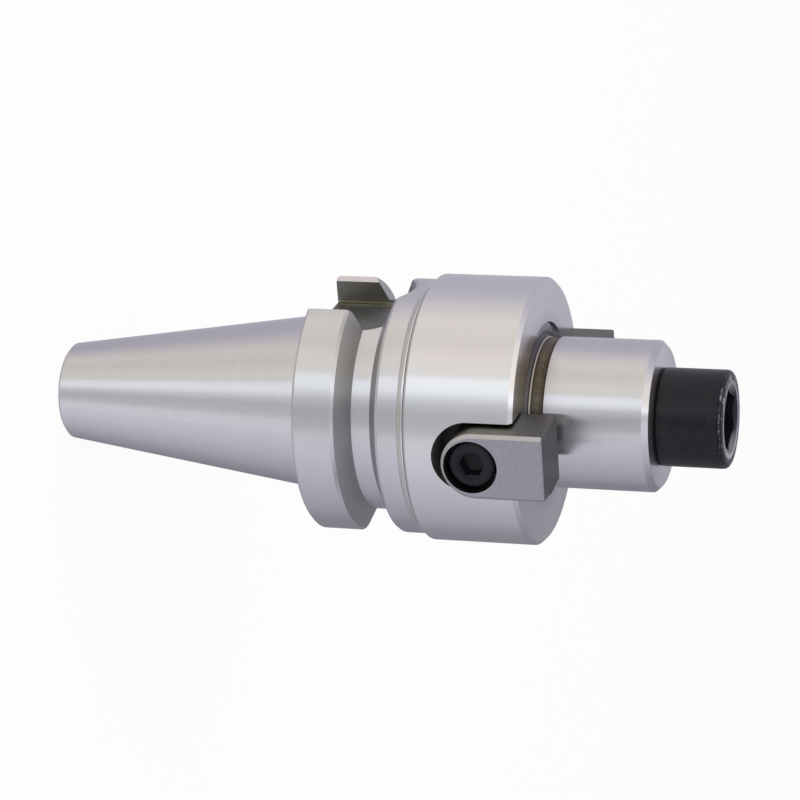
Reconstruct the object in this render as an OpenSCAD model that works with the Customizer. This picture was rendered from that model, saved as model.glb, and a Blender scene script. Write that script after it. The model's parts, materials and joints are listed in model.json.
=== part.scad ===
// Face mill arbor for a milling machine spindle.
// A steep taper shank with a gripper flange carries a short body. The body has two bolted
// drive keys and a round pilot for the cutter, which a socket head screw clamps from the nose.
// Millimetres. The origin is the centre of the gauge plane and +Z runs along the axis to the
// nose. The drive keys lie on the X axis and the flange slots on the Y axis.

/* [Taper shank] */
// Diameter of the taper at the gauge plane
gauge_d = 31.75; // [30:0.05:32]
// Length of the taper from the gauge plane to its small end
taper_len = 48.4; // [40:0.1:56]
// Diameter that the taper gains over its rise length
taper_gain = 7; // [6:0.1:8]
// Rise length over which the taper gains that diameter
taper_rise = 24; // [21:0.5:28]
// Chamfer at the small end
tail_chamfer = 0.5; // [0.2:0.1:1.5]

/* [Pull stud hole] */
// Diameter of the tapped hole in the small end
stud_d = 12; // [8:0.1:12]
// Diameter of the plain guide bore at its mouth
stud_guide_d = 12.5; // [12.2:0.1:13.5]
// Depth of the guide bore
stud_guide_len = 7; // [3:0.5:12]
// Depth of the full thread from the small end
stud_thread_len = 24; // [16:0.5:30]
// Width of the chamfer at the mouth
stud_mouth = 0.8; // [0.3:0.1:1.2]

/* [Flange] */
// Distance from the gauge plane to the rear face of the flange
flange_z = 2; // [1.5:0.1:4]
// Diameter of the flange
flange_d = 46; // [44:0.1:48]
// Thickness of the flange
flange_len = 20; // [19:0.1:24]
// Distance from the rear face to the middle of the gripper groove
groove_mid = 11.6; // [10.5:0.1:12.5]
// Width of the gripper groove at the rim
groove_w = 8; // [6:0.1:8.6]
// Depth of the gripper groove
groove_depth = 4; // [3:0.1:5]
// Angle between the two walls of the gripper groove
groove_angle = 60; // [50:1:70]
// Chamfer on the edges of the groove
groove_edge = 0.35; // [0.1:0.05:0.6]
// Chamfer on the rims of the flange
rim_chamfer = 0.5; // [0.2:0.1:0.9]
// Depth of the undercut between the taper and the flange
undercut_depth = 0.4; // [0.2:0.05:0.8]
// Width of the undercut between the taper and the flange
undercut_w = 1; // [0.5:0.1:1.4]

/* [Flange slots] */
// Width of a driving slot
slot_w = 16.1; // [14:0.1:17]
// Distance from the axis to the floor of a driving slot
slot_floor = 16.3; // [16.1:0.1:18]
// Length of a driving slot from the rear face of the flange
slot_len = 17.3; // [14:0.1:19]
// Chamfer on the straight edges of a driving slot
slot_edge = 1.1; // [0.3:0.1:1.5]
// Chamfer at the round end of a driving slot
slot_end_edge = 0.8; // [0.3:0.1:1.2]

/* [Body] */
// Diameter of the body
body_d = 48; // [47:0.1:52]
// Distance from the gauge plane to the front face
face_z = 42.5; // [41:0.1:60]
// Width of the turned line between the flange and the body
line_w = 0.6; // [0.3:0.1:1]
// Depth of the turned line below the flange
line_depth = 0.6; // [0.3:0.1:1.5]
// Chamfer on the front and back edges of the body
body_chamfer = 0.7; // [0.3:0.1:1.2]
// Diameter of the shallow recess in the front face
recess_d = 32.2; // [30:0.1:33.5]
// Depth of the shallow recess in the front face
recess_depth = 0.5; // [0.2:0.1:1]

/* [Pilot] */
// Diameter of the pilot that centres the cutter
pilot_d = 27; // [26:0.1:28]
// Length of the pilot from the front face
pilot_len = 21.4; // [18:0.1:30]
// Chamfer at the end of the pilot
pilot_chamfer = 1; // [0.3:0.1:1.5]
// Distance from the front face to the neck behind the pilot
neck_z = 0.2; // [0.1:0.1:1]
// Length of the unground neck
neck_len = 1.75; // [1:0.05:4]
// Depth of the neck below the pilot
neck_depth = 0.35; // [0.2:0.05:0.8]
// Length of the bevel from the neck up to the pilot
neck_bevel = 0.9; // [0.4:0.1:1.2]
// Radius left at the root of the pilot
root_bevel = 0.4; // [0.2:0.1:0.8]

/* [Drive keys] */
// Width of a drive key
key_w = 12; // [10:0.1:13]
// Overall length of a drive key
key_len = 18.3; // [17:0.1:20]
// Distance that the outer face of a drive key stands out of the body
key_out = 3.3; // [2:0.1:4]
// Distance from the axis to the seat of a drive key
key_seat = 16.4; // [16.3:0.1:17]
// Length that a drive key stands past the front face
key_stand = 6.3; // [5:0.1:7]
// Chamfer along the outer edges of a drive key
key_chamfer = 0.6; // [0.2:0.1:1]
// Chamfer around the nose end of a drive key
key_nose_chamfer = 0.25; // [0.1:0.05:0.5]
// Gap between a drive key and each side of its slot
key_side_gap = 0.5; // [0.05:0.05:0.6]
// Gap between the rounded end of a drive key and its slot
key_end_gap = 2.5; // [1:0.1:4]

/* [Key screws] */
// Thread diameter of a key screw
key_screw_d = 5; // [4:0.5:5]
// Length of a key screw under its head
key_screw_len = 10; // [9:0.5:11]
// Diameter of the head of a key screw
key_head_d = 8.5; // [8:0.1:9]
// Height of the head of a key screw
key_head_h = 5; // [4:0.1:5.5]
// Width across the flats of the hexagon socket
key_hex = 4; // [3:0.5:4]
// Depth of the hexagon socket
key_hex_depth = 2.5; // [2:0.1:3]
// Diameter of the chamfered mouth of the socket
key_hex_mouth = 5; // [4.7:0.1:6]
// Diameter of the counterbore for the head
key_bore_d = 9.6; // [9.2:0.1:10]
// Depth of the head below the outer face of the key
key_head_sunk = 1.1; // [0.2:0.1:1.5]
// Distance from the rounded end of the key to the screw
key_screw_at = 5.4; // [5.2:0.1:7]

/* [Clamp screw and washer] */
// Thread diameter of the clamp screw
clamp_d = 12; // [10:0.5:12]
// Length of the clamp screw under its head
clamp_len = 30; // [20:1:40]
// Diameter of the head of the clamp screw
clamp_head_d = 17.5; // [17:0.1:18.5]
// Height of the head of the clamp screw
clamp_head_h = 11.1; // [10:0.1:13]
// Chamfer on the outer edge of the head
clamp_head_chamfer = 0.9; // [0.5:0.1:1.5]
// Width across the flats of the hexagon socket
clamp_hex = 10; // [8:0.5:10]
// Depth of the hexagon socket
clamp_hex_depth = 6; // [5:0.1:7]
// Diameter of the chamfered mouth of the socket
clamp_hex_mouth = 13.5; // [11.8:0.1:14]
// Outer diameter of the washer
washer_d = 17.3; // [16.5:0.1:20]
// Hole diameter of the washer
washer_hole_d = 13; // [12.4:0.1:14]
// Thickness of the washer
washer_t = 1; // [0.8:0.1:2.5]

/* [Hidden] */
$fn = 128;

// Angles about the axis of the two drive keys; each flange slot is a quarter turn back
SIDES = [0, 180];

// Room beside a screw in its tapped hole, and depth of a hole past the end of its screw
thread_gap = 0.05;
hole_spare = 2;
// Room beside a key screw in its key
key_hole_gap = 0.25;
// Angle at the tip of a drill, and length that a cutter reaches past the metal
drill_angle = 118;
past = 2;

gauge_r = gauge_d / 2;
tail_z = -taper_len;
tail_r = taper_r(tail_z);
flange_r = flange_d / 2;
flange_end = flange_z + flange_len;
groove_z = flange_z + groove_mid;
groove_slope = tan(groove_angle / 2);
groove_half = groove_w / 2;
groove_floor_half = groove_half - groove_depth * groove_slope;
line_r = flange_r - line_depth;
body_z = flange_end + line_w;
body_r = body_d / 2;
recess_r = recess_d / 2;
recess_z = face_z - recess_depth;
pilot_r = pilot_d / 2;
pilot_end = face_z + pilot_len;
neck_r = pilot_r - neck_depth;
neck_start = face_z + neck_z;
neck_end = neck_start + neck_len;

// Places of the drive keys along the axis and out from it
key_nose = face_z + key_stand;
key_rear = key_nose - key_len;
key_round_z = key_rear + key_w / 2;
key_outer = body_r + key_out;
key_t = key_outer - key_seat;
key_slot_half = key_w / 2 + key_side_gap;
key_slot_round_z = key_rear - key_end_gap + key_slot_half;
key_screw_z = key_rear + key_screw_at;
key_head_top = key_outer - key_head_sunk;
key_head_seat = key_head_top - key_head_h;
key_screw_tip = key_head_seat - key_screw_len;

// Places of the clamp screw along the axis
clamp_seat = pilot_end + washer_t;
clamp_tip = clamp_seat - clamp_len;

// Chamfers at the edges of screws and washers, and below their heads
tip_chamfer = 0.8;
small_chamfer = 0.3;

// Radius of the taper at a height
function taper_r(z) = gauge_r + z * taper_gain / taper_rise / 2;

// Both halves of a section that is drawn for one side only, as points of across and up
function both_sides(half) =
  concat(half, [for (i = [len(half) - 1 : -1 : 0]) [-half[i][0], half[i][1]]]);

// A bar of a given section along +X from the origin
module bar(half, length) {
  rotate([90, 0, 90]) linear_extrude(length) polygon(both_sides(half));
}

// A round end of a given section about the origin
module round_end(half) {
  rotate_extrude() polygon(concat([[0, half[0][1]]], half, [[0, half[len(half) - 1][1]]]));
}

// A bar of a given section along +X, with a round end of the same section about the origin
module round_ended_bar(half, length) {
  bar(half, length);
  round_end(half);
}

// Puts what is drawn along +X with its top up on a side of the arbor, its length to the nose
module to_nose(angle, z) {
  rotate([0, 0, angle]) translate([0, 0, z]) rotate([0, 90, 0]) rotate([0, 0, 180]) children();
}

// The same, with its length to the tail
module to_tail(angle, z) {
  rotate([0, 0, angle]) translate([0, 0, z]) rotate([0, 90, 0]) children();
}

// A drilled hole down from its mouth at the origin, with the cone that the drill leaves
module drilled_hole(r, depth) {
  cone = r / tan(drill_angle / 2);
  rotate_extrude()
    polygon([[0, past], [r, past], [r, -depth], [0, -depth - cone]]);
}

// A hexagon socket down from the origin, with a chamfered mouth and a drilled point below it
module hex_socket(flats, depth, mouth_d) {
  flat_r = flats / 2;
  cone = mouth_d / 2 - flat_r;
  translate([0, 0, -depth]) cylinder(h = depth + past, d = flats / cos(30), $fn = 6);
  translate([0, 0, -depth]) drilled_hole(flat_r * 0.9, 0.01);
  translate([0, 0, -cone])
    cylinder(h = cone + past, r1 = flat_r, r2 = mouth_d / 2 + past);
}

// A socket head screw with its head seat at the origin, its head up and its thread down
module socket_screw(d, length, head_d, head_h, head_edge, hex, hex_depth, hex_mouth) {
  difference() {
    rotate_extrude() polygon([
      [0, -length],
      [d / 2 - tip_chamfer, -length],
      [d / 2, -length + tip_chamfer],
      [d / 2, 0],
      [head_d / 2 - small_chamfer, 0],
      [head_d / 2, small_chamfer],
      [head_d / 2, head_h - head_edge],
      [head_d / 2 - head_edge, head_h],
      [0, head_h]
    ]);
    translate([0, 0, head_h]) hex_socket(hex, hex_depth, hex_mouth);
  }
}

// Outline of the turned arbor, as points of radius and height
module arbor_outline() {
  polygon([
    [0, tail_z],
    [tail_r - tail_chamfer, tail_z],
    [taper_r(tail_z + tail_chamfer), tail_z + tail_chamfer],
    [gauge_r, 0],
    [gauge_r, flange_z - undercut_w],
    [gauge_r - undercut_depth, flange_z - undercut_w + undercut_depth],
    [gauge_r - undercut_depth, flange_z],
    [flange_r - rim_chamfer, flange_z],
    [flange_r, flange_z + rim_chamfer],
    [flange_r, groove_z - groove_half - groove_edge],
    [flange_r - groove_edge, groove_z - groove_half + groove_edge * groove_slope],
    [flange_r - groove_depth, groove_z - groove_floor_half],
    [flange_r - groove_depth, groove_z + groove_floor_half],
    [flange_r - groove_edge, groove_z + groove_half - groove_edge * groove_slope],
    [flange_r, groove_z + groove_half + groove_edge],
    [flange_r, flange_end - rim_chamfer],
    [flange_r - rim_chamfer, flange_end],
    [line_r, flange_end],
    [line_r, body_z],
    [body_r - body_chamfer, body_z],
    [body_r, body_z + body_chamfer],
    [body_r, face_z - body_chamfer],
    [body_r - body_chamfer, face_z],
    [recess_r, face_z],
    [recess_r, recess_z],
    [pilot_r + root_bevel, recess_z],
    [pilot_r, recess_z + root_bevel],
    [pilot_r, neck_start],
    [neck_r, neck_start + neck_depth],
    [neck_r, neck_end],
    [pilot_r, neck_end + neck_bevel],
    [pilot_r, pilot_end - pilot_chamfer],
    [pilot_r - pilot_chamfer, pilot_end],
    [0, pilot_end]
  ]);
}

// Section of a flange slot that opens at 45 degrees from a chamfer below a rim height
function slot_section(half, rim, edge) = [
  [half, slot_floor],
  [half, rim - edge],
  [half + edge + past, rim + past]
];

// Slot in the flange for the drive key of the spindle, milled from the tail side
module flange_slot(angle) {
  half = slot_w / 2;
  side_rim = sqrt(pow(flange_r, 2) - pow(half, 2));
  to_tail(angle, flange_z + slot_len - half) {
    bar(slot_section(half, side_rim, slot_edge), slot_len - half + past);
    round_end(slot_section(half, flange_r, slot_end_edge));
  }
}

// Slot in the body that a drive key seats in, open at the front face
module key_slot(angle) {
  section = [[key_slot_half, key_seat], [key_slot_half, key_outer + past]];
  to_nose(angle, key_slot_round_z)
    round_ended_bar(section, face_z - key_slot_round_z + past);
}

// Tapped hole for a key screw, from the floor of the key slot
module key_screw_hole(angle) {
  rotate([0, 0, angle]) translate([key_seat, 0, key_screw_z]) rotate([0, 90, 0])
    drilled_hole(key_screw_d / 2 + thread_gap, key_seat - key_screw_tip + hole_spare / 2);
}

// Hole in the small end for the pull stud: mouth, guide bore, thread and drill point
module stud_hole() {
  guide_r = stud_guide_d / 2;
  translate([0, 0, tail_z]) {
    rotate([180, 0, 0]) drilled_hole(stud_d / 2, stud_thread_len + hole_spare);
    translate([0, 0, -past]) cylinder(h = stud_guide_len + past, r = guide_r);
    translate([0, 0, -past])
      cylinder(h = stud_mouth + past, r1 = guide_r + stud_mouth + past, r2 = guide_r);
  }
}

// Tapped hole in the pilot for the clamp screw, with a chamfer at its mouth
module clamp_hole() {
  r = clamp_d / 2 + thread_gap;
  translate([0, 0, pilot_end]) {
    drilled_hole(r, pilot_end - clamp_tip + hole_spare);
    translate([0, 0, -small_chamfer])
      cylinder(h = small_chamfer + past, r1 = r, r2 = r + small_chamfer + past);
  }
}

module arbor_body() {
  color("silver") difference() {
    rotate_extrude() arbor_outline();
    for (side = SIDES) {
      flange_slot(side - 90);
      key_slot(side);
      key_screw_hole(side);
    }
    stud_hole();
    clamp_hole();
  }
}

// A drive key: chamfered bar with a round rear end, a square nose and a sunk screw hole
module drive_key(angle) {
  half = key_w / 2;
  nose = key_nose - key_round_z;
  section = [
    [half, key_seat],
    [half, key_outer - key_chamfer],
    [half - key_chamfer, key_outer]
  ];
  hole_x = key_screw_z - key_round_z;
  color("darkgray") to_nose(angle, key_round_z) difference() {
    intersection() {
      round_ended_bar(section, nose);
      key_nose_outline(nose);
    }
    translate([hole_x, 0, key_seat - past])
      cylinder(h = key_t + 2 * past, d = key_screw_d + 2 * key_hole_gap);
    translate([hole_x, 0, key_head_seat])
      cylinder(h = key_outer - key_head_seat + past, d = key_bore_d);
  }
}

// Space that bevels the four edges of a key's nose, by one view from the side and one from above
module key_nose_outline(nose) {
  half = key_w / 2;
  c = key_nose_chamfer;
  rear = -key_w;
  intersection() {
    translate([0, 0, key_seat]) linear_extrude(key_t) polygon([
      [rear, -half], [nose - c, -half], [nose, c - half],
      [nose, half - c], [nose - c, half], [rear, half]
    ]);
    rotate([90, 0, 0]) linear_extrude(key_w + past, center = true) polygon([
      [rear, key_seat], [nose - c, key_seat], [nose, key_seat + c],
      [nose, key_outer - c], [nose - c, key_outer], [rear, key_outer]
    ]);
  }
}

module key_screw(angle) {
  color("dimgray") rotate([0, 0, angle]) translate([key_head_seat, 0, key_screw_z])
    rotate([0, 90, 0])
    socket_screw(key_screw_d, key_screw_len, key_head_d, key_head_h, 2 * small_chamfer,
      key_hex, key_hex_depth, key_hex_mouth);
}

module clamp_washer() {
  edge = small_chamfer / 2;
  color("dimgray") translate([0, 0, pilot_end]) rotate_extrude() polygon([
    [washer_hole_d / 2, 0],
    [washer_d / 2 - edge, 0],
    [washer_d / 2, edge],
    [washer_d / 2, washer_t - edge],
    [washer_d / 2 - edge, washer_t],
    [washer_hole_d / 2, washer_t]
  ]);
}

module clamp_screw() {
  color("dimgray") translate([0, 0, clamp_seat])
    socket_screw(clamp_d, clamp_len, clamp_head_d, clamp_head_h, clamp_head_chamfer,
      clamp_hex, clamp_hex_depth, clamp_hex_mouth);
}

arbor_body();
drive_key(SIDES[0]);  // drive_key_1
drive_key(SIDES[1]);  // drive_key_2
key_screw(SIDES[0]);  // key_screw_1
key_screw(SIDES[1]);  // key_screw_2
clamp_washer();
clamp_screw();
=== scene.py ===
"""Looks of a face mill arbor: ground steel, milled slots, drive keys and black oxide screws.

The arbor stands on its small end, +Z runs along its axis to the nose, and lengths are metres.
"""

import json
import math
from types import SimpleNamespace

import bmesh
import bpy
from mathutils import Matrix, Vector


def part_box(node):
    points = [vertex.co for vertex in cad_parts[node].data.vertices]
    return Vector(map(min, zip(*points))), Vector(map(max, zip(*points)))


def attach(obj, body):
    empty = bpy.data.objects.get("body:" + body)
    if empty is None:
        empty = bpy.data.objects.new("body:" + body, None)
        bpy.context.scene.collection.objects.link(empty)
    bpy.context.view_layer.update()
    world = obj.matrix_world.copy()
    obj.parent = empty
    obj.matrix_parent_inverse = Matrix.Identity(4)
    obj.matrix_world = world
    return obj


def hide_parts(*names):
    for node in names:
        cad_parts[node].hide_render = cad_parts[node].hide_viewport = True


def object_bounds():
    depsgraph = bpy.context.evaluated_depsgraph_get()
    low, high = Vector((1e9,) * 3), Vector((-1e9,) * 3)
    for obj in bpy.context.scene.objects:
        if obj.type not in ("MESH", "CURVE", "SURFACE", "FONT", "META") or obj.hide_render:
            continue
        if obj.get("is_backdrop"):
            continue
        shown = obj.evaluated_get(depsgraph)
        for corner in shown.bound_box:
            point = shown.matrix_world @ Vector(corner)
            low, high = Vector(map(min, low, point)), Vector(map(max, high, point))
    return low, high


bl_info = {
    "name": "Face Mill Arbor Looks",
    "version": (1, 0, 0),
    "blender": (4, 5, 0),
    "location": "3D View > Sidebar > Arbor",
    "description": "Dresses a face mill arbor and sets up its studio",
    "category": "Object",
}

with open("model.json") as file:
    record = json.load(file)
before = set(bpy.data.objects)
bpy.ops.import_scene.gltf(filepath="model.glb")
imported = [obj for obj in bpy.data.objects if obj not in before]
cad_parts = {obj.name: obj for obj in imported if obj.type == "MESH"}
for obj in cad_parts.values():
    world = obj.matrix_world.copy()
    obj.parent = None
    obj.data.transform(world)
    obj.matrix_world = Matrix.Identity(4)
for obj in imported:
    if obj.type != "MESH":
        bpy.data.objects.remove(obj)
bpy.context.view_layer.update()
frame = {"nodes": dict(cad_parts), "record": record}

MM = 0.001
FULL_TURN = 2 * math.pi
QUARTER_TURN = math.pi / 2
LATHE_STEPS = 96
THREAD_STEPS = 36
ROUND_STEPS = 4
SHARP_ANGLE = math.radians(32)
MOUTH_SLOPE = math.tan(math.radians(30))
SAME_POINT = 0.0001 * MM
HEAD_FOOT_BEVEL = 0.1 * MM
THREAD_OVERLAP = 0.05 * MM
ARBOR_BODY = "arbor"
WASHER_BODY = "washer"
SCREW_BODY = "screw"

# In the millimetres of the materials: how far a mask reaches past the edge of its surface, and
# the least radius that rings are drawn round, so that the axis divides nothing by zero
EDGE = 0.05
LEAST_RADIUS = 0.01


# Sizes and colours that a user would change


def length(name, description, millimetres):
    """A length property whose default is given in millimetres."""
    return bpy.props.FloatProperty(
        name=name, description=description, default=millimetres * MM,
        min=0.0, unit="LENGTH", precision=5)


def colour(name, description, default):
    """A colour property in linear light."""
    return bpy.props.FloatVectorProperty(
        name=name, description=description, default=default, size=3,
        min=0.0, max=2.0, subtype="COLOR")


def turn(name, description, degrees):
    """An angle property whose default is given in degrees."""
    return bpy.props.FloatProperty(
        name=name, description=description, default=math.radians(degrees), unit="ROTATION")


class ClampScrewSizes(bpy.types.PropertyGroup):
    """The clamp screw, apart from its head's outline, which the CAD gives"""

    thread_d: length("Thread", "Outer diameter of the thread", 12)
    pitch: length("Pitch", "Pitch of the thread", 1.75)
    thread_depth: length("Thread depth", "Depth of the thread below its crest", 0.95)
    head_edge: length("Head edge", "Rounding at the top of the head", 0.9)
    flats: length("Socket", "Width across the flats of the socket", 10)
    mouth_d: length("Socket mouth", "Diameter of the socket's chamfered mouth", 12.5)
    socket_depth: length("Socket depth", "Depth of the socket", 6)
    socket_turn: turn("Socket turn", "Turn of the socket's corners about the axis", 21.4)


class ClampWasherSizes(bpy.types.PropertyGroup):
    """The thin washer under the clamp screw's head"""

    # The washer is dark as painted shade, so its thickness sets the width of that dark line
    thickness: length("Thickness", "Thickness, as the joint line under the head shows it", 0.45)
    outer_d: length("Outer diameter", "Outer diameter", 17.3)
    hole_d: length("Hole", "Hole round the clamp screw", 13)


class KeyScrewSizes(bpy.types.PropertyGroup):
    """The screws that hold the drive keys"""

    thread_d: length("Thread", "Outer diameter of the thread", 5)
    pitch: length("Pitch", "Pitch of the thread", 0.8)
    thread_depth: length("Thread depth", "Depth of the thread below its crest", 0.45)
    head_edge: length("Head edge", "Rounding at the top of the head", 0.6)
    head_height: length("Head height", "Height of the head", 5)
    flats: length("Socket", "Width across the flats of the socket", 4)
    mouth_d: length("Socket mouth", "Diameter of the socket's chamfered mouth", 5)
    socket_depth: length("Socket depth", "Depth of the socket", 2.5)
    socket_turn: turn("Socket turn", "Turn of the socket's corners about the axis", 0)


class PullStudThreadSizes(bpy.types.PropertyGroup):
    """The thread in the small end"""

    pitch: length("Pitch", "Pitch of the thread", 1.75)
    depth: length("Depth", "Depth of the thread inside its wall", 0.8)


class ArborPlaces(bpy.types.PropertyGroup):
    """Edges of the arbor body, as the CAD has them, for the finishes between them"""

    slot_half: length("Flange slot half", "Half the width of a flange slot", 8.05)
    slot_floor: length("Flange slot floor", "Floor of a flange slot from the axis", 16.3)
    slot_round: length("Flange slot round", "Centre of the round end of a flange slot", 11.25)
    key_slot_half: length("Key slot half", "Half the width of a key slot", 6.5)
    key_seat: length("Key seat", "Floor of a key slot from the axis", 16.4)
    key_slot_round: length("Key slot round", "Centre of the round end of a key slot", 34.5)
    face: length("Front face", "Front face from the gauge plane", 42.5)
    recess_r: length("Recess", "Radius of the shallow recess", 16.1)
    pilot_r: length("Pilot", "Radius of the pilot", 13.5)
    neck_end: length("Neck end", "Where the ground pilot starts", 45.35)
    hole_r: length("Hole", "Radius that covers the tapped holes", 6.6)
    flange_end: length("Flange end", "Front rim of the flange from the gauge plane", 22)
    step: length("Step", "Back of the body from the gauge plane", 22.6)
    step_r: length("Step radius", "Radius at the back edge of the body", 23.3)
    groove_mid: length("Groove", "Middle of the gripper groove from the gauge plane", 13.6)
    groove_half: length("Groove half", "Half the width of the gripper groove", 4)
    groove_edge_r: length("Groove edge", "Radius at the edges of the gripper groove", 22.6)


class FinishColours(bpy.types.PropertyGroup):
    """Colours of every finish, with painted shade, painted highlights and painted reflections
    among them
    """

    ground: colour("Ground steel", "Ground and turned steel", (0.77, 0.755, 0.75))
    ground_shade: colour("Ground steel shade", "Darker rings in the steel", (0.757, 0.742, 0.741))
    cloud: colour("Clouds", "Soft clouds in the ground steel", (0.72, 0.70, 0.72))
    # Painted shade: the milled steel is painted darker for the shade in the slots and at the step
    # line
    milled: colour("Milled steel", "Walls and floors of the flange slots", (0.25, 0.245, 0.22))
    # Painted reflection on the round end of a flange slot
    slot_end: colour("Slot end", "Round end of a flange slot", (0.66, 0.65, 0.66))
    # Painted highlight: the golden line along the floor of a flange slot
    slot_line: colour("Slot line", "Golden line along the floor of a flange slot",
                      (0.90, 0.82, 0.58))
    # Painted shade: the groove's walls are painted darker, the one facing the tail darker still
    groove: colour("Groove", "Wall of the gripper groove that faces the nose", (0.58, 0.575, 0.56))
    groove_back: colour("Groove back", "Wall of the gripper groove that faces the tail",
                        (0.42, 0.42, 0.425))
    # Painted highlight: the polished rim is painted brighter than the steel
    rim: colour("Rim", "Polished rim between the flange and the body", (0.87, 0.86, 0.84))
    # The body's own turned tone, painted brighter as a painted reflection
    body: colour("Body", "Turned body in front of the flange", (0.85, 0.835, 0.82))
    # Painted shade in the key slots, the tapped holes and the corners of the flange slots
    deep_shade: colour("Deep slots", "Walls of the key slots and tapped holes", (0.13, 0.135, 0.12))
    # The neck's own brown, darkened by painted shade
    neck: colour("Neck", "Unground neck behind the pilot", (0.29, 0.24, 0.18))
    front: colour("Front face", "Face that the cutter seats on", (0.90, 0.88, 0.85))
    # Painted reflection of the pilot in the front face
    front_cool: colour("Front face, cool", "Front face next to the pilot", (0.64, 0.70, 0.76))
    # Painted shade in the recess round the pilot
    recess: colour("Recess", "Shallow recess round the pilot", (0.20, 0.20, 0.195))
    # Painted reflection: the pilot's end face is painted near white
    nose: colour("Nose", "End face of the pilot", (0.97, 0.96, 0.95))
    # Painted highlight: a straw coloured line at the pilot's root
    root: colour("Root line", "Straw coloured line at the root of the pilot", (0.72, 0.67, 0.58))
    root_shade: colour("Root shade", "Shaded steel round the pilot's root", (0.17, 0.165, 0.16))
    key_face: colour("Key steel", "Outer faces of the drive keys", (0.46, 0.46, 0.475))
    # Painted shade: the sides and nose ends of the keys are painted darker than their faces
    key_side: colour("Key sides", "Sides of the drive keys", (0.23, 0.222, 0.20))
    key_end: colour("Key ends", "Nose ends of the drive keys", (0.20, 0.20, 0.20))
    # Painted highlight: the bevels are painted lighter than the faces
    key_bevel: colour("Key bevels", "Bevels of the drive keys", (0.50, 0.495, 0.485))
    key_bevel_light: colour("Key bevels, light", "Light patches on the bevels", (0.70, 0.69, 0.67))
    # Painted shade: the bevels at the nose ends are painted darker
    key_nose_bevel: colour("Key nose bevels", "Bevels at the nose ends", (0.40, 0.40, 0.40))
    black: colour("Black oxide", "Screws", (0.006, 0.0063, 0.011))
    black_warm: colour("Brown oxide", "Warm patches in the black", (0.017, 0.013, 0.013))
    bare: colour("Worn steel", "Bare steel where the black has worn off", (0.70, 0.70, 0.73))
    # Painted shade: the washer is painted dull black to show as the dark line under the head
    washer: colour("Washer", "Dull black of the thin washer", (0.004, 0.004, 0.005))
    # Painted shade: the thread inside the hole is painted dark, in lighter and darker rings
    tapped: colour("Tapped hole", "Dark rings in the pull stud hole", (0.20, 0.19, 0.18))
    tapped_light: colour("Tapped hole, light", "Light rings in the hole", (0.34, 0.33, 0.32))


class StudioSettings(bpy.types.PropertyGroup):
    """Camera and floor"""

    azimuth: turn("Azimuth", "Camera round the arbor, as the view command counts it", 67.96)
    elevation: turn("Elevation", "Camera above the horizon", 17.053)
    roll: turn("Roll", "Camera about its own line of sight", 92.556)
    distance: length("Distance", "Camera from its aim point", 582.2)
    aim: bpy.props.FloatVectorProperty(
        name="Aim", description="Point that the camera looks at", subtype="XYZ", unit="LENGTH",
        precision=5, default=(-4.225 * MM, 0.815 * MM, 13.766 * MM))
    focal_length: bpy.props.FloatProperty(
        name="Focal length", description="Focal length in millimetres on a 36 mm sensor",
        default=143.38, min=10)
    floor_size: length("Floor", "Side of the floor", 6000)
    floor_colour: colour("Floor", "Pale floor", (0.9, 0.9, 0.9))
    under: colour("Under", "Light from straight below", (0.55, 0.55, 0.56))


SETTINGS = {
    "arbor_clamp_screw": ClampScrewSizes,
    "arbor_clamp_washer": ClampWasherSizes,
    "arbor_key_screw": KeyScrewSizes,
    "arbor_stud_thread": PullStudThreadSizes,
    "arbor_places": ArborPlaces,
    "arbor_colours": FinishColours,
    "arbor_studio": StudioSettings,
}


# Shader wiring


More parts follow.
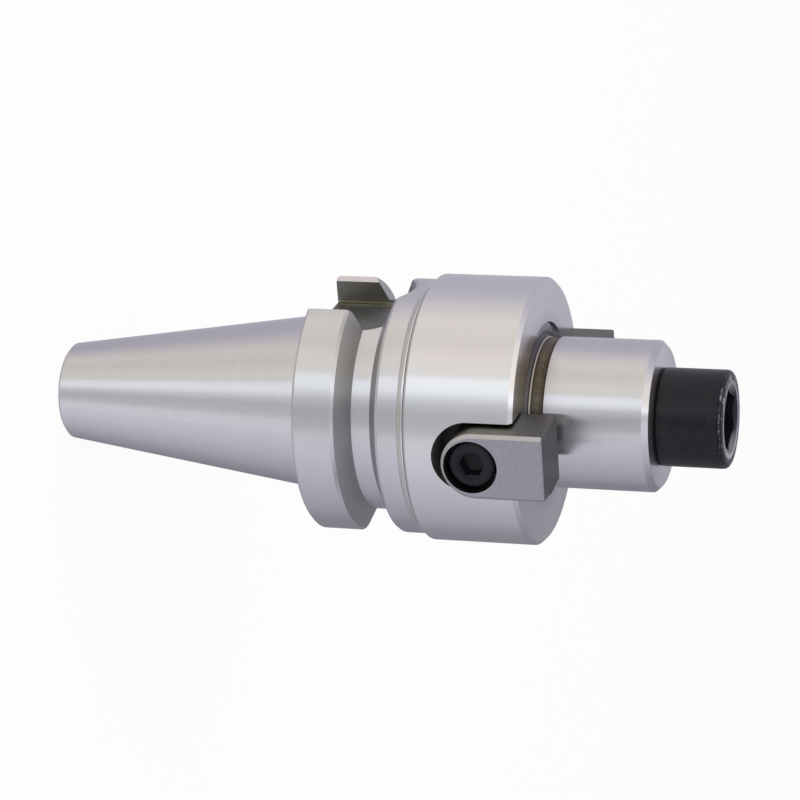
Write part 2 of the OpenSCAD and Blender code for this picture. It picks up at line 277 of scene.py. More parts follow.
class Wiring:
    """Adds nodes to a shader tree, and joins each to what feeds it."""

    def __init__(self, tree):
        self.tree = tree

    def feed(self, socket, value):
        """Links a socket, or sets a constant on it."""
        if isinstance(value, bpy.types.NodeSocket):
            self.tree.links.new(value, socket)
        elif value is not None:
            socket.default_value = value

    def add(self, kind, *feeds, **settings):
        """A node of a kind with its settings, fed in the order of its inputs."""
        node = self.tree.nodes.new(kind)
        for name, value in settings.items():
            setattr(node, name, value)
        for socket, value in zip(node.inputs, feeds):
            self.feed(socket, value)
        return node

    def math(self, operation, *feeds):
        """A sum on numbers."""
        return self.add("ShaderNodeMath", *feeds, operation=operation).outputs[0]

    def size(self, value):
        """A number without its sign."""
        return self.math("ABSOLUTE", value)

    def reach(self, first, second):
        """How far a point lies from a centre, from its distances on two axes."""
        return self.math("SQRT", self.math("ADD", self.math("MULTIPLY", first, first),
                                           self.math("MULTIPLY", second, second)))

    def under(self, value, limit):
        """One where a value is less than a limit."""
        return self.math("LESS_THAN", value, limit)

    def over(self, value, limit):
        """One where a value is more than a limit."""
        return self.math("GREATER_THAN", value, limit)

    def between(self, value, low, high):
        """One where a value lies between two limits."""
        return self.math("COMPARE", value, (low + high) / 2, (high - low) / 2)

    def rise(self, value, low, high):
        """Climbs smoothly from nothing at low to one at high."""
        node = self.add("ShaderNodeMapRange", value, low, high, 0.0, 1.0,
                        interpolation_type="SMOOTHSTEP")
        return node.outputs[0]

    def both(self, first, *others):
        """One where every mask is one. A number among them weakens the others."""
        for other in others:
            first = self.math("MULTIPLY", first, other)
        return first

    def either(self, first, *others):
        """One where any of the masks is one."""
        for other in others:
            first = self.math("MAXIMUM", first, other)
        return first

    def blend(self, factor, first, second):
        """Mixes two colours."""
        node = self.tree.nodes.new("ShaderNodeMix")
        node.data_type = "RGBA"
        self.feed(node.inputs["Factor"], factor)
        self.feed(node.inputs[6], opaque(first))
        self.feed(node.inputs[7], opaque(second))
        return node.outputs[2]

    def level(self, factor, first, second):
        """Mixes two numbers."""
        node = self.tree.nodes.new("ShaderNodeMix")
        self.feed(node.inputs[0], factor)
        self.feed(node.inputs[2], first)
        self.feed(node.inputs[3], second)
        return node.outputs[0]

    def noise(self, vector, scale, detail=2.0, roughness=0.5):
        """Soft noise from nothing to one."""
        node = self.add("ShaderNodeTexNoise")
        self.feed(node.inputs["Vector"], vector)
        self.feed(node.inputs["Scale"], scale)
        self.feed(node.inputs["Detail"], detail)
        self.feed(node.inputs["Roughness"], roughness)
        return node.outputs["Fac"]

    def bump(self, height, strength, distance):
        """Turns a height into a normal."""
        node = self.add("ShaderNodeBump")
        self.feed(node.inputs["Strength"], strength)
        self.feed(node.inputs["Distance"], distance)
        self.feed(node.inputs["Height"], height)
        return node.outputs["Normal"]


def opaque(value):
    """A colour with its alpha, or the socket that was given."""
    if isinstance(value, bpy.types.NodeSocket):
        return value
    return (*value[:3], 1.0)


def shade(tint, share):
    """A colour made darker or lighter by a share."""
    return [part * share for part in tint]


def in_millimetres(group):
    """The lengths of a property group in millimetres, under the same names."""
    return SimpleNamespace(**{name: getattr(group, name) / MM
                              for name in type(group).__annotations__})


def new_material(name):
    """An empty metal material: its wiring and its shader."""
    material = bpy.data.materials.new(name)
    material.use_nodes = True
    shader = material.node_tree.nodes["Principled BSDF"]
    shader.inputs["Metallic"].default_value = 1.0
    return material, Wiring(material.node_tree), shader


class Place:
    """Object coordinates in millimetres, about the axis of a turned piece."""

    def __init__(self, wiring, centre=(0, 0, 0), turned=(0, 0, 0)):
        coordinates = wiring.add("ShaderNodeTexCoord")
        move = wiring.add("ShaderNodeMapping", vector_type="TEXTURE")
        wiring.feed(move.inputs["Vector"], coordinates.outputs["Object"])
        wiring.feed(move.inputs["Location"], centre)
        wiring.feed(move.inputs["Rotation"], turned)
        wiring.feed(move.inputs["Scale"], (MM, MM, MM))
        self.wiring = wiring
        self.point = move.outputs["Vector"]
        self.normal = coordinates.outputs["Normal"]
        split = wiring.add("ShaderNodeSeparateXYZ", self.point)
        self.x, self.y, self.z = split.outputs
        self.r = wiring.reach(self.x, self.y)

    def facing(self):
        """How far the surface faces along each axis of the piece, from minus one to one."""
        return self.wiring.add("ShaderNodeSeparateXYZ", self.normal).outputs

    def rings(self, around, along):
        """Noise drawn out round the axis, as a lathe or a grinding wheel leaves it."""
        w = self.wiring
        run = w.math("MULTIPLY", w.math("ADD", self.z, self.r), along)
        radius = w.math("MAXIMUM", self.r, LEAST_RADIUS)
        across = [w.math("MULTIPLY", w.math("DIVIDE", side, radius), around)
                  for side in (self.x, self.y)]
        vector = w.add("ShaderNodeCombineXYZ", *across, run).outputs[0]
        return w.noise(vector, 1.0)

    def band(self, low, high, *others):
        """One between two heights on the axis, where the other masks are one too."""
        return self.wiring.both(self.wiring.between(self.z, low, high), *others)

    def slot(self, across, out, half, floor, round_z, past_round):
        """One on the walls and floor of a slot with a round end, open to the side past_round."""
        w = self.wiring
        side = w.size(across)
        straight = w.both(past_round(self.z, round_z), w.under(side, half))
        round_end = w.under(w.reach(side, w.math("SUBTRACT", self.z, round_z)), half)
        return w.both(w.over(w.size(out), floor), w.either(straight, round_end))


# Finishes, with painted shade, highlights and reflections


class ArborMasks:
    """Where each finish, painted shade, painted highlight and painted reflection of the arbor
    lies: masks that are one there and nothing elsewhere.
    """

    def __init__(self, at, places):
        self.at = at
        self.places = places
        _, self.towards_slot, self.towards_nose = at.facing()
        self.mark_slots()
        self.mark_rings()
        self.mark_front()

    def mark_slots(self):
        """Slots with a golden line of painted highlight along their floors, painted shade in their
        corners and a painted reflection at their round ends, and the tapped holes.
        """
        at = self.at
        w = at.wiring
        places = self.places
        out = w.size(at.y)
        line_start = places.slot_floor + 0.05
        line_end = places.slot_floor + 0.42
        floor_top = places.slot_floor + 0.04
        shade_width = 0.6
        end_length = 3
        wall_facing = 0.5
        self.flange_slots = at.slot(at.x, at.y, places.slot_half + EDGE, places.slot_floor - EDGE,
                                    places.slot_round, w.under)
        self.key_slots = at.slot(at.y, at.x, places.key_slot_half + EDGE, places.key_seat - EDGE,
                                 places.key_slot_round, w.over)
        # A golden line of painted highlight along the floor of each flange slot
        self.slot_line = w.both(self.flange_slots, w.between(out, line_start, line_end))
        # Painted shade in the corners of the flange slots
        self.slot_corner = w.both(self.flange_slots, w.under(out, floor_top),
                                  w.over(w.size(at.x), places.slot_half - shade_width),
                                  w.under(at.z, places.slot_round))
        # A painted reflection on the round end of each flange slot
        self.slot_end = w.both(w.rise(at.z, places.slot_round, places.slot_round + end_length),
                               w.under(w.size(self.towards_slot), wall_facing))
        self.holes = w.under(at.r, places.hole_r)

    def mark_rings(self):
        """Walls of the gripper groove in painted shade, the rim painted brighter as a painted
        highlight, the line of painted shade at the step and the body painted brighter as a painted
        reflection.
        """
        at = self.at
        w = at.wiring
        places = self.places
        wall_facing = 0.8
        rim_start = places.flange_end - 0.5
        line_start = places.step + 0.01
        line_end = places.step + 0.25
        body_depth = 1
        in_groove = at.band(places.groove_mid - places.groove_half,
                            places.groove_mid + places.groove_half,
                            w.under(at.r, places.groove_edge_r))
        # Both walls of the groove take painted shade
        self.groove = w.both(in_groove, w.over(self.towards_nose, wall_facing))
        self.groove_back = w.both(in_groove, w.under(self.towards_nose, -wall_facing))
        # The body is painted brighter, as a painted reflection
        self.body = at.band(places.step, places.face - EDGE,
                            w.over(at.r, places.step_r - body_depth))
        # The rim is painted brighter, as a painted highlight
        self.rim = at.band(rim_start, line_start, w.under(at.r, places.step_r + 0.01))
        # A thin line of painted shade at the step, in the milled colour
        self.step_line = at.band(line_start, line_end, w.over(at.r, places.step_r))

    def mark_front(self):
        """The front face with its recess in painted shade, the root of the pilot with painted
        shade and a line of painted highlight, the neck, which takes painted shade, and the pilot's
        end face, painted bright as a painted reflection.
        """
        at = self.at
        w = at.wiring
        face = self.places.face
        pilot = self.places.pilot_r
        recess_low = face - 0.7
        recess_high = face - 0.1
        neck_start = face + 0.2
        root_start = face + 0.22
        root_end = face + 0.4
        shade_reach = 0.9
        seat_start = pilot + 1
        end_facing = 0.9
        # Painted shade in the recess
        self.recess = at.band(recess_low, recess_high, w.under(at.r, self.places.recess_r + EDGE))
        self.shaded_root = at.band(recess_low, neck_start, w.under(at.r, pilot + shade_reach))
        # A straw coloured line of painted highlight at the root of the pilot
        self.root = at.band(root_start, root_end, w.under(at.r, pilot + EDGE))
        # The neck, which takes painted shade in its tone
        self.neck = at.band(neck_start, self.places.neck_end, w.under(at.r, pilot + 2 * EDGE))
        self.front = at.band(face - EDGE, face + EDGE, w.over(at.r, seat_start))
        # The pilot's end face, painted bright as a painted reflection
        self.nose = w.both(w.over(at.z, self.places.neck_end),
                           w.over(self.towards_nose, end_facing))


def neck_tone(at, places, colours):
    """Mottled brown of the unground neck, darkened by painted shade, most at both its ends."""
    w = at.wiring
    from_face = w.rise(at.z, places.face + 0.45, places.face + 0.85)
    from_pilot = w.rise(at.z, places.neck_end - 0.05, places.neck_end - 0.6)
    mottle = w.rise(w.noise(at.point, 1.4, detail=3.0), 0.35, 0.65)
    brown = w.both(from_face, from_pilot, w.level(mottle, 0.6, 1.0))
    return w.blend(brown, shade(colours.neck, 0.4), colours.neck)


def milled_tone(at, slot_end, colours):
    """Cloudy grey of the milled slots, darkened by painted shade, with a painted reflection where
    a slot's round end mirrors the light.
    """
    w = at.wiring
    walls = w.blend(w.noise(at.point, 0.7, detail=3.0), colours.milled, shade(colours.milled, 1.5))
    return w.blend(slot_end, walls, colours.slot_end)


def ground_steel(places, colours):
    """Ground steel with milled slots and an unground neck, with painted shade in the slots, tapped
    holes, groove, recess and at the step, and painted highlights and reflections on the rim, body,
    nose, front face and lines.
    """
    material, w, shader = new_material("ground_steel_with_milled_slots")
    at = Place(w)
    masks = ArborMasks(at, places)
    fine = at.rings(around=2.0, along=9.0)
    broad = at.rings(around=1.2, along=0.55)
    cloud = w.rise(w.noise(at.point, 0.12, detail=3.0), 0.5, 0.75)
    # The cooler ring of the front face round the pilot is a painted reflection of the pilot
    cool_ring = (places.pilot_r + 1, places.pilot_r + 6)
    front = w.blend(w.rise(at.r, *cool_ring), colours.front_cool, colours.front)
    # Painted shade in the key slots and tapped holes
    deep_shade = w.either(masks.key_slots, masks.holes)
    paint = w.blend(w.rise(broad, 0.35, 0.65), colours.ground, colours.ground_shade)
    # Painted shade, highlights and reflections lie among these coats, as the masks and colours say
    for mask, tone in ((w.both(cloud, 0.35), colours.cloud), (masks.front, front),
                       (masks.nose, colours.nose), (w.both(masks.recess, 0.55), colours.recess),
                       (masks.shaded_root, colours.root_shade),
                       (masks.neck, neck_tone(at, places, colours)), (masks.root, colours.root),
                       (masks.body, colours.body), (masks.groove, colours.groove),
                       (masks.groove_back, colours.groove_back), (masks.rim, colours.rim),
                       (masks.step_line, colours.milled),
                       (masks.flange_slots, milled_tone(at, masks.slot_end, colours)),
                       (masks.slot_line, colours.slot_line), (masks.slot_corner, colours.deep_shade),
                       (deep_shade, colours.deep_shade)):
        paint = w.blend(mask, paint, tone)
    rough = w.level(fine, 0.185, 0.215)
    for mask, roughness in ((w.either(masks.neck, masks.shaded_root, masks.flange_slots), 0.42),
                            (w.either(masks.groove, masks.groove_back), 0.36), (deep_shade, 0.6),
                            (masks.front, 0.145)):
        rough = w.level(mask, rough, roughness)
    w.feed(shader.inputs["Base Color"], paint)
    w.feed(shader.inputs["Roughness"], rough)
    w.feed(shader.inputs["Metallic"], w.level(masks.key_slots, 1.0, 0.3))
    w.feed(shader.inputs["Normal"], w.bump(fine, strength=0.06, distance=0.03 * MM))
    ring_tangent(w, shader)
    return material


def ring_tangent(wiring, shader):
    """Draws highlights out across marks that run round the axis."""
    tangent = wiring.add("ShaderNodeTangent", direction_type="RADIAL", axis="Z")
    wiring.feed(shader.inputs["Tangent"], tangent.outputs[0])
    shader.inputs["Anisotropic"].default_value = 0.9
    shader.inputs["Anisotropic Rotation"].default_value = 0.25


def key_steel(colours):
    """Surface ground bar: mottled light faces, with sides, ends and nose bevels painted darker as
    painted shade and the other bevels painted brighter as painted highlights.
    """
    material, w, shader = new_material("key_steel")
    at = Place(w)
    towards_side, _, towards_nose = at.facing()
    outward = w.size(towards_side)
    outer = w.over(outward, 0.97)
    ends = w.over(towards_nose, 0.9)
    bevel = w.between(outward, 0.45, 0.95)
    nose_bevel = w.both(bevel, w.over(towards_nose, 0.3))
    mottle = w.noise(at.point, 2.1, detail=5.0, roughness=0.62)
    along_key = w.add("ShaderNodeMapping", at.point, None, None, (9.0, 9.0, 0.5)).outputs[0]
    grain = w.noise(along_key, 1.0)
    face = w.blend(w.rise(mottle, 0.36, 0.66), shade(colours.key_face, 0.93),
                   shade(colours.key_face, 1.07))
    side = w.blend(w.rise(mottle, 0.3, 0.7), shade(colours.key_side, 0.93),
                   shade(colours.key_side, 1.07))
    # Sides and ends painted darker as shade, bevels painted lighter as highlights
    paint = w.blend(outer, w.blend(ends, side, colours.key_end), face)
    paint = w.blend(bevel, paint, w.blend(mottle, colours.key_bevel, colours.key_bevel_light))
    paint = w.blend(nose_bevel, paint, colours.key_nose_bevel)
    w.feed(shader.inputs["Base Color"], paint)
    w.feed(shader.inputs["Roughness"], w.level(mottle, 0.30, 0.48))
    w.feed(shader.inputs["Normal"],
           w.bump(w.math("ADD", mottle, grain), strength=0.15, distance=0.04 * MM))
    return material


def rubbed_steel(at, rim_r, rim_z, mouth_r):
    """How far the black has rubbed off the rim, the top face and the socket mouth of a head."""
    w = at.wiring
    top = w.over(at.z, rim_z - 0.1)
    outside_mouth = w.over(at.r, mouth_r)
    inside_mouth = w.under(at.r, mouth_r)
    round_edge = w.both(w.over(at.r, rim_r - 0.6), w.between(at.z, rim_z - 0.6, rim_z - 0.35))
    small_spots = w.rise(w.noise(at.point, 1.1, detail=4.0, roughness=0.7), 0.48, 0.58)
    large_spots = w.rise(w.noise(at.point, 0.2, detail=1.0), 0.38, 0.55)
    fleck = w.both(round_edge, small_spots, large_spots)
    ring = w.both(w.rise(at.z, rim_z - 0.12, rim_z - 0.04), w.rise(at.r, mouth_r - 0.12, mouth_r),
                  w.rise(at.r, mouth_r + 0.8, mouth_r + 0.45),
                  w.level(w.noise(at.point, 1.1, detail=3.0), 0.75, 1.0))
    cone = w.both(inside_mouth, w.over(at.z, rim_z - 0.75), w.rise(w.size(at.y), 2.5, 6.0))
    patch = w.both(top, outside_mouth, w.rise(w.noise(at.point, 0.8, detail=3.0), 0.55, 0.65))
    return w.either(w.both(fleck, 0.35), ring, w.both(cone, 0.22), w.both(patch, 0.4))


def black_oxide(name, colours, centre, turned, rim=None):
    """Black oxide about an axis. Where a rim is given, steel shows on its edge and its face."""
    material, w, shader = new_material(name)
    at = Place(w, centre, turned)
    tone = w.rise(w.noise(at.point, 0.35, detail=3.0), 0.45, 0.75)
    fine = at.rings(around=2.5, along=7.0)
    worn = w.both(w.rise(w.noise(at.point, 3.1), 0.76, 0.82), 0.15)
    if rim:
        worn = w.either(worn, rubbed_steel(at, *rim))
    black = w.blend(tone, colours.black, colours.black_warm)
    w.feed(shader.inputs["Base Color"], w.blend(worn, black, colours.bare))
    w.feed(shader.inputs["Metallic"], worn)
    w.feed(shader.inputs["Specular IOR Level"], 0.33)
    w.feed(shader.inputs["Roughness"], w.level(tone, 0.28, 0.36))
    w.feed(shader.inputs["Normal"], w.bump(fine, strength=0.12, distance=0.03 * MM))
    return material


def washer_painted_shade(colours):
    """Dull black on the washer, as painted shade, so that it shows as the dark line of shade under
    the screw head.
    """
    material, w, shader = new_material("clamp_washer_painted_shade")
    w.feed(shader.inputs["Base Color"], opaque(colours.washer))
    w.feed(shader.inputs["Metallic"], 0.0)
    w.feed(shader.inputs["Specular IOR Level"], 0.08)
    w.feed(shader.inputs["Roughness"], 0.5)
    return material


def tapped_steel(colours):
    """Steel of a tapped hole, darkened as painted shade inside the hole, in rings of light and
    dark.
    """
    material, w, shader = new_material("tapped_steel")
    at = Place(w)
    w.feed(shader.inputs["Base Color"],
           w.blend(at.rings(around=2.0, along=5.0), colours.tapped, colours.tapped_light))
    w.feed(shader.inputs["Roughness"], w.level(w.noise(at.point, 2.0), 0.3, 0.45))
    return material


# Shapes


def lathe(mesh, outline):
    """Turns an open outline of radius and height about the Z axis."""
    points = [mesh.verts.new((radius, 0, height)) for radius, height in outline]
    lines = [mesh.edges.new(pair) for pair in zip(points, points[1:])]
    bmesh.ops.spin(mesh, geom=points + lines, cent=(0, 0, 0), axis=(0, 0, 1), dvec=(0, 0, 0),
                   angle=FULL_TURN, steps=LATHE_STEPS, use_merge=True, use_duplicate=False)


def rounded(corner_r, corner_z, size):
    """Points of a quarter round in an outline, from the side of a head up onto its top."""
    centre_r = corner_r - size
    centre_z = corner_z - size
    angles = [QUARTER_TURN * index / ROUND_STEPS for index in range(ROUND_STEPS + 1)]
    return [(centre_r + size * math.cos(angle), centre_z + size * math.sin(angle))
            for angle in angles]


def open_edges(mesh):
    """Edges that bound a hole in the mesh."""
    return [edge for edge in mesh.edges if edge.is_boundary]


def extrude_ring(mesh, edges, radius_at, height_at):
    """Extrudes a ring of edges to a radius at each angle and a height at each radius."""
    made = bmesh.ops.extrude_edge_only(mesh, edges=edges)["geom"]
    corners = {part for part in made if isinstance(part, bmesh.types.BMVert)}
    for corner in corners:
        angle = math.atan2(corner.co.y, corner.co.x)
        radius = radius_at(angle)
        corner.co = (radius * math.cos(angle), radius * math.sin(angle), height_at(radius))
    return [part for part in made if isinstance(part, bmesh.types.BMEdge)
            and corners.issuperset(part.verts)]


def hex_socket(mesh, edge_of_top, sizes, top):
    """Closes the top of a head with a six sided socket that has a conical mouth and floor."""
    mouth_r = sizes.mouth_d / 2
    drill_r = sizes.flats * 0.46
    cone_depth = drill_r * 0.58
    bottom = top - sizes.socket_depth
    sixth = FULL_TURN / 6

    def side(angle):
        return sizes.flats / 2 / math.cos(angle % sixth - sixth / 2)

    mouth = extrude_ring(mesh, edge_of_top, lambda angle: mouth_r, lambda radius: top)
    socket = extrude_ring(mesh, mouth, side, lambda radius: top - (mouth_r - radius) * MOUTH_SLOPE)
    foot = extrude_ring(mesh, socket, side, lambda radius: bottom)
    drill = extrude_ring(mesh, foot, lambda angle: drill_r, lambda radius: bottom)
    point = extrude_ring(mesh, drill, lambda angle: drill_r / 2, lambda radius: bottom)
    corners = {corner for edge in point for corner in edge.verts}
    bmesh.ops.pointmerge(mesh, verts=list(corners), merge_co=(0, 0, bottom - cone_depth))


def thread(mesh, root_r, crest_r, pitch, bottom, top):
    """A helical ridge from a root radius to a crest radius, out or in, closed at both ends."""
    foot = pitch * 0.44
    tip = pitch * 0.07
    start = bottom + pitch / 2
    outline = [(root_r, start - foot), (crest_r, start - tip), (crest_r, start + tip),
               (root_r, start + foot)]
    before = set(mesh.faces)
    points = [mesh.verts.new((radius, 0, height)) for radius, height in outline]
    lines = [mesh.edges.new((points[i], points[i - 1])) for i in range(len(points))]
    turns = (top - bottom) / pitch - 1
    steps = round(turns * THREAD_STEPS)
    bmesh.ops.spin(mesh, geom=points + lines, cent=(0, 0, 0), axis=(0, 0, 1),
                   dvec=(0, 0, pitch / THREAD_STEPS), angle=FULL_TURN * steps / THREAD_STEPS,
                   steps=steps, use_merge=False, use_duplicate=False)
    made = [face for face in mesh.faces if face not in before]
    ends = {edge for face in made for edge in face.edges if edge.is_boundary}
    bmesh.ops.holes_fill(mesh, edges=list(ends), sides=len(outline))


def socket_screw(sizes, head_r, head_height, length_under):
    """A socket head screw with its head seat at the origin and its head up."""
    mesh = bmesh.new()
    crest = sizes.thread_d / 2
    core = crest - sizes.thread_depth
    tip_bevel = sizes.thread_depth * 0.6
    shank = sizes.pitch * 0.3
    runout = sizes.pitch * 0.8
    lathe(mesh, [
        (0, -length_under), (core - tip_bevel, -length_under), (core, -length_under + tip_bevel),
        (core, -runout), (crest, -shank), (crest, 0), (head_r - HEAD_FOOT_BEVEL, 0),
        (head_r, HEAD_FOOT_BEVEL), *rounded(head_r, head_height, sizes.head_edge)])
    bmesh.ops.remove_doubles(mesh, verts=mesh.verts, dist=SAME_POINT)
    hex_socket(mesh, open_edges(mesh), sizes, head_height)
    thread(mesh, core - THREAD_OVERLAP, crest, sizes.pitch, -length_under, -shank)
    bmesh.ops.rotate(mesh, verts=mesh.verts, cent=(0, 0, 0),
                     matrix=Matrix.Rotation(sizes.socket_turn, 3, "Z"))
    return mesh


def finish_piece(mesh, name, material, body, place=Matrix.Identity(4)):
    """Makes a mesh an object at the origin that rides on a body."""
    bmesh.ops.transform(mesh, matrix=place, verts=mesh.verts)
    bmesh.ops.recalc_face_normals(mesh, faces=mesh.faces)
    data = bpy.data.meshes.new(name)
    mesh.to_mesh(data)
    mesh.free()
    data.shade_smooth()
    data.set_sharp_from_angle(angle=SHARP_ANGLE)
    data.materials.append(material)
    piece = bpy.data.objects.new(name, data)
    bpy.context.scene.collection.objects.link(piece)
    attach(piece, body)
    return piece


def dress(node, material):
    """Puts a material on every slot of a CAD node."""
    data = frame["nodes"][node].data
    if not data.materials:
        data.materials.append(material)
    for index in range(len(data.materials)):
        data.materials[index] = material


# Operators, one for each piece or group of like pieces


class ArborBodyOperator(bpy.types.Operator):
    """Gives the turned arbor its ground steel, milled slots and unground neck, with painted shade,
    highlights and reflections
    """

    bl_idname = "arbor.body"
    bl_label = "Arbor Body"

    def execute(self, context):
        places = in_millimetres(context.scene.arbor_places)
        dress("arbor_body", ground_steel(places, context.scene.arbor_colours))
        return {"FINISHED"}


class DriveKeysOperator(bpy.types.Operator):
    """Gives the two drive keys their surface ground steel, with painted shade and painted
    highlights
    """

    bl_idname = "arbor.drive_keys"
    bl_label = "Drive Keys"

    def execute(self, context):
        material = key_steel(context.scene.arbor_colours)
        for node in ("drive_key_1", "drive_key_2"):
            dress(node, material)
        return {"FINISHED"}


class KeyScrewsOperator(bpy.types.Operator):
    """Makes the two threaded socket screws that hold the drive keys"""

    bl_idname = "arbor.key_screws"
    bl_label = "Key Screws"

    def execute(self, context):
        sizes = context.scene.arbor_key_screw
        for node in ("key_screw_1", "key_screw_2"):
            low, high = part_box(node)
            head_r = (high.z - low.z) / 2
            towards = 1 if high.x > 0 else -1
            head_top = max(abs(low.x), abs(high.x))
            tip = min(abs(low.x), abs(high.x))
            seat = head_top - sizes.head_height
            centre = Vector((towards * seat, 0, (high.z + low.z) / 2))
            quarter = QUARTER_TURN * towards
            place = Matrix.Translation(centre) @ Matrix.Rotation(quarter, 4, "Y")
            material = black_oxide(node + "_oxide", context.scene.arbor_colours, centre,
                                   (0, quarter, 0))
            mesh = socket_screw(sizes, head_r, sizes.head_height, seat - tip)
            piece = finish_piece(mesh, node + "_threaded", material, ARBOR_BODY, place)
            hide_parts(node)
        return {"FINISHED"}


class ClampScrewOperator(bpy.types.Operator):
    """Makes the threaded socket screw that clamps the cutter"""

    bl_idname = "arbor.clamp_screw"
    bl_label = "Clamp Screw"

    def execute(self, context):
        sizes = context.scene.arbor_clamp_screw
        low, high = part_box("clamp_screw")
        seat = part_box("clamp_washer")[0].z + context.scene.arbor_clamp_washer.thickness
        centre = Vector((0, 0, seat))
        height = high.z - seat
        rim = (high.x / MM, height / MM, sizes.mouth_d / 2 / MM)
        material = black_oxide("clamp_screw_oxide", context.scene.arbor_colours, centre,
                               (0, 0, 0), rim)
        mesh = socket_screw(sizes, high.x, height, seat - low.z)
        piece = finish_piece(mesh, "clamp_screw_threaded", material, SCREW_BODY,
                             Matrix.Translation(centre))
        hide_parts("clamp_screw")
        return {"FINISHED"}


class ClampWasherOperator(bpy.types.Operator):
    """Makes the thin washer under the head of the clamp screw, dark as painted shade"""

    bl_idname = "arbor.clamp_washer"
    bl_label = "Clamp Washer"

    def execute(self, context):
        sizes = context.scene.arbor_clamp_washer
        material = washer_painted_shade(context.scene.arbor_colours)
        mesh = bmesh.new()
        inner = sizes.hole_d / 2
        outer = sizes.outer_d / 2
        lathe(mesh, [(inner, 0), (outer, 0), (outer, sizes.thickness), (inner, sizes.thickness),
                     (inner, 0)])
        bmesh.ops.remove_doubles(mesh, verts=mesh.verts, dist=SAME_POINT)
        seat = Matrix.Translation((0, 0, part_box("clamp_washer")[0].z))
        piece = finish_piece(mesh, "clamp_washer_thin", material, WASHER_BODY, seat)
        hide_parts("clamp_washer")
        return {"FINISHED"}


class PullStudThreadOperator(bpy.types.Operator):
    """Makes the thread inside the pull stud hole"""

    bl_idname = "arbor.pull_stud_thread"
    bl_label = "Pull Stud Thread"

    def execute(self, context):
        sizes = context.scene.arbor_stud_thread
        mounts = {mount["name"]: mount for mount in frame["record"]["mounts"]}
        wall = mounts["pull_stud_thread"]
        mouth = wall["pos_m"][2]
        wall_r = wall["dims"]["r_mm"] * MM
        inner_end = mouth + wall["dims"]["length_mm"] * MM
        material = tapped_steel(context.scene.arbor_colours)
        mesh = bmesh.new()
        thread(mesh, wall_r + THREAD_OVERLAP, wall_r - sizes.depth, sizes.pitch, mouth, inner_end)
        finish_piece(mesh, "pull_stud_thread", material, ARBOR_BODY)
        return {"FINISHED"}


WHITE = (1.0, 1.0, 1.0)
FLOOR_WHITE = 0.93
LAMP_PLACE = (0.55, -0.75, 0.95)
LAMP_SIZE = 1.1
LAMP_POWER = 9.0
SENSOR_WIDTH = 36
NEAREST = 0.01
FARTHEST = 20

# Tints of the light round the arbor
VIOLET = (0.96, 0.94, 1.10)
COOL = (0.95, 0.99, 1.06)
WARM = (1.05, 0.99, 0.96)

# The light all round the arbor: level and tint of each panel at its angle about the axis from the
# camera, in degrees, towards the flange slot that the camera sees first
PANELS = (
    ("behind", -180, 0.30, VIOLET),
    ("dark side", -160, 0.25, VIOLET),
    ("dark side edge", -134, 0.30, VIOLET),
    ("low side", -118, 0.40, VIOLET),
    ("low panel", -48, 0.70, VIOLET),
    ("low panel end", -32, 0.70, COOL),
    ("camera side", -23, 0.55, COOL),
    ("camera side middle", -8, 0.50, COOL),
    ("camera side end", 3, 0.65, COOL),
    ("cool strip", 13, 1.05, COOL),
    ("cool strip end", 23, 1.10, COOL),
    ("warm panel", 26.5, 0.85, WHITE),
    ("warm panel side", 40, 0.85, WARM),
    ("warm panel middle", 57, 0.75, WARM),
    ("warm panel end", 78, 0.80, WARM),
    ("back", 114, 0.55, VIOLET),
    ("back edge", 142, 0.50, VIOLET),
)


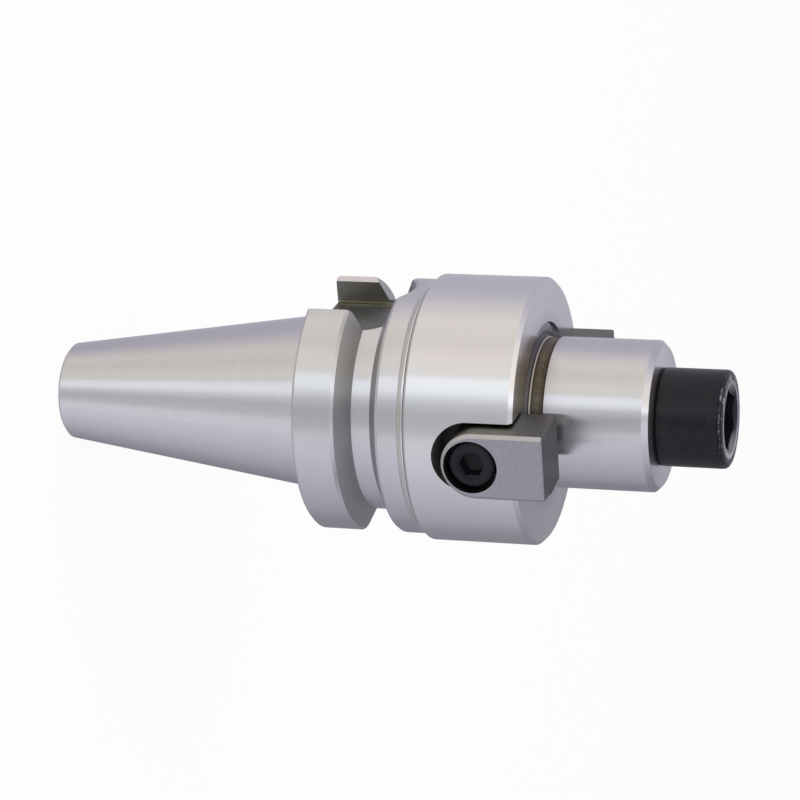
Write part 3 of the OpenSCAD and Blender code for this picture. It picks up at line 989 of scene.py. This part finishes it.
class StudioOperator(bpy.types.Operator):
    """Sets up the floor, the light and the camera"""

    bl_idname = "arbor.studio"
    bl_label = "Studio"

    def execute(self, context):
        studio = context.scene.arbor_studio
        self.add_floor(context.scene, studio)
        self.add_panels(context.scene, studio)
        self.add_lamp(context.scene)
        self.add_camera(context.scene, studio)
        context.scene.view_settings.view_transform = "Standard"
        return {"FINISHED"}

    def add_floor(self, scene, studio):
        """A pale floor that keeps a soft shadow and doesn't show in the steel."""
        data = bpy.data.meshes.new("floor")
        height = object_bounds()[0].z
        mesh = bmesh.new()
        bmesh.ops.create_grid(mesh, x_segments=1, y_segments=1, size=studio.floor_size / 2,
                              matrix=Matrix.Translation((0, 0, height)))
        mesh.to_mesh(data)
        mesh.free()
        material = bpy.data.materials.new("pale_floor")
        material.use_nodes = True
        w = Wiring(material.node_tree)
        shader = material.node_tree.nodes["Principled BSDF"]
        w.feed(shader.inputs["Base Color"], opaque(studio.floor_colour))
        w.feed(shader.inputs["Roughness"], 0.9)
        w.feed(shader.inputs["Specular IOR Level"], 0.0)
        white = w.add("ShaderNodeEmission", opaque(WHITE), 1.0)
        seen = w.both(w.add("ShaderNodeLightPath").outputs["Is Camera Ray"], FLOOR_WHITE)
        mixed = w.add("ShaderNodeMixShader", seen, shader.outputs[0], white.outputs[0])
        w.feed(material.node_tree.nodes["Material Output"].inputs["Surface"], mixed.outputs[0])
        data.materials.append(material)
        floor = bpy.data.objects.new("floor", data)
        floor.visible_glossy = False
        scene.collection.objects.link(floor)
        floor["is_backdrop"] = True

    def add_panels(self, scene, studio):
        """White to the camera, and soft panels round the axis to everything else."""
        world = bpy.data.worlds.new("studio_panels")
        world.use_nodes = True
        scene.world = world
        w = Wiring(world.node_tree)
        direction = w.add("ShaderNodeTexCoord").outputs["Generated"]
        x, y, z = w.add("ShaderNodeSeparateXYZ", direction).outputs
        camera_angle = studio.azimuth - QUARTER_TURN
        around = w.math("SUBTRACT", camera_angle, w.math("ARCTAN2", y, x))
        share = w.math("FRACT", w.math("ADD", w.math("DIVIDE", around, FULL_TURN), 1.5))
        ramp = w.add("ShaderNodeValToRGB", share)
        stops = ramp.color_ramp.elements
        while len(stops) > 1:
            stops.remove(stops[-1])
        for index, (_, degrees, level, tint) in enumerate(PANELS):
            position = degrees / 360 + 0.5
            stop = stops[0] if index == 0 else stops.new(position)
            stop.position = position
            stop.color = opaque(shade(tint, level))
        panels = w.add("ShaderNodeVectorMath", ramp.outputs["Color"], None, None,
                       self.strength(w, share, z), operation="SCALE").outputs[0]
        panels = w.blend(w.rise(z, -0.7, -0.95), panels, studio.under)
        seen = w.add("ShaderNodeLightPath").outputs["Is Camera Ray"]
        background = world.node_tree.nodes["Background"]
        w.feed(background.inputs["Color"], w.blend(seen, panels, WHITE))

    def strength(self, w, share, z):
        """Strength of the panels at a share of the way round, and at a height from -1 to 1."""
        from_camera = w.size(w.math("SUBTRACT", share, 0.5))
        towards_camera = w.rise(from_camera, 0.28, 0.2)
        dark_gap = w.both(towards_camera, w.rise(z, 0.04, 0.14), w.rise(z, 0.66, 0.5))
        overhead = w.level(w.rise(z, 0.5, 0.9), 1.0, 1.25)
        upper = w.level(dark_gap, overhead, 0.4)
        low_side = w.level(w.rise(share, 0.56, 0.5), 0.87, 1.12)
        low_back = w.level(w.rise(share, 0.16, 0.10), low_side, 1.4)
        lower = w.level(w.rise(z, -0.35, -0.58), 1.0, low_back)
        return w.both(upper, lower)

    def add_lamp(self, scene):
        """A soft square lamp aimed at the arbor, for the shadow on the floor."""
        data = bpy.data.lights.new("soft_lamp", "AREA")
        data.size = LAMP_SIZE
        data.energy = LAMP_POWER
        lamp = bpy.data.objects.new("soft_lamp", data)
        lamp.location = LAMP_PLACE
        lamp.rotation_euler = Vector(LAMP_PLACE).to_track_quat("Z", "Y").to_euler()
        lamp.visible_glossy = False
        scene.collection.objects.link(lamp)

    def add_camera(self, scene, studio):
        """The camera where the photograph was taken from."""
        data = bpy.data.cameras.new("camera")
        data.sensor_width = SENSOR_WIDTH
        data.lens = studio.focal_length
        data.clip_start = NEAREST
        data.clip_end = FARTHEST
        back = Vector((math.sin(studio.azimuth) * math.cos(studio.elevation),
                       -math.cos(studio.azimuth) * math.cos(studio.elevation),
                       math.sin(studio.elevation)))
        upright = (-back).to_track_quat("-Z", "Y").to_matrix().to_4x4()
        camera = bpy.data.objects.new("camera", data)
        camera.matrix_world = (Matrix.Translation(Vector(studio.aim) + back * studio.distance)
                               @ upright @ Matrix.Rotation(studio.roll, 4, "Z"))
        scene.collection.objects.link(camera)
        scene.camera = camera


STEPS = (
    ArborBodyOperator,
    DriveKeysOperator,
    KeyScrewsOperator,
    ClampScrewOperator,
    ClampWasherOperator,
    PullStudThreadOperator,
    StudioOperator,
)


class ArborPanel(bpy.types.Panel):
    """Lists the steps that dress the arbor"""

    bl_idname = "VIEW3D_PT_arbor"
    bl_label = "Arbor"
    bl_space_type = "VIEW_3D"
    bl_region_type = "UI"
    bl_category = "Arbor"

    def draw(self, context):
        for step in STEPS:
            self.layout.operator(step.bl_idname)


def register():
    for group in (*SETTINGS.values(), *STEPS, ArborPanel):
        bpy.utils.register_class(group)
    for name, group in SETTINGS.items():
        setattr(bpy.types.Scene, name, bpy.props.PointerProperty(type=group))


def unregister():
    for name in SETTINGS:
        delattr(bpy.types.Scene, name)
    for group in (ArborPanel, *reversed(STEPS), *SETTINGS.values()):
        bpy.utils.unregister_class(group)


def main():
    register()
    for step in STEPS:
        space, name = step.bl_idname.split(".")
        getattr(getattr(bpy.ops, space), name)()


if __name__ == "__main__":
    main()
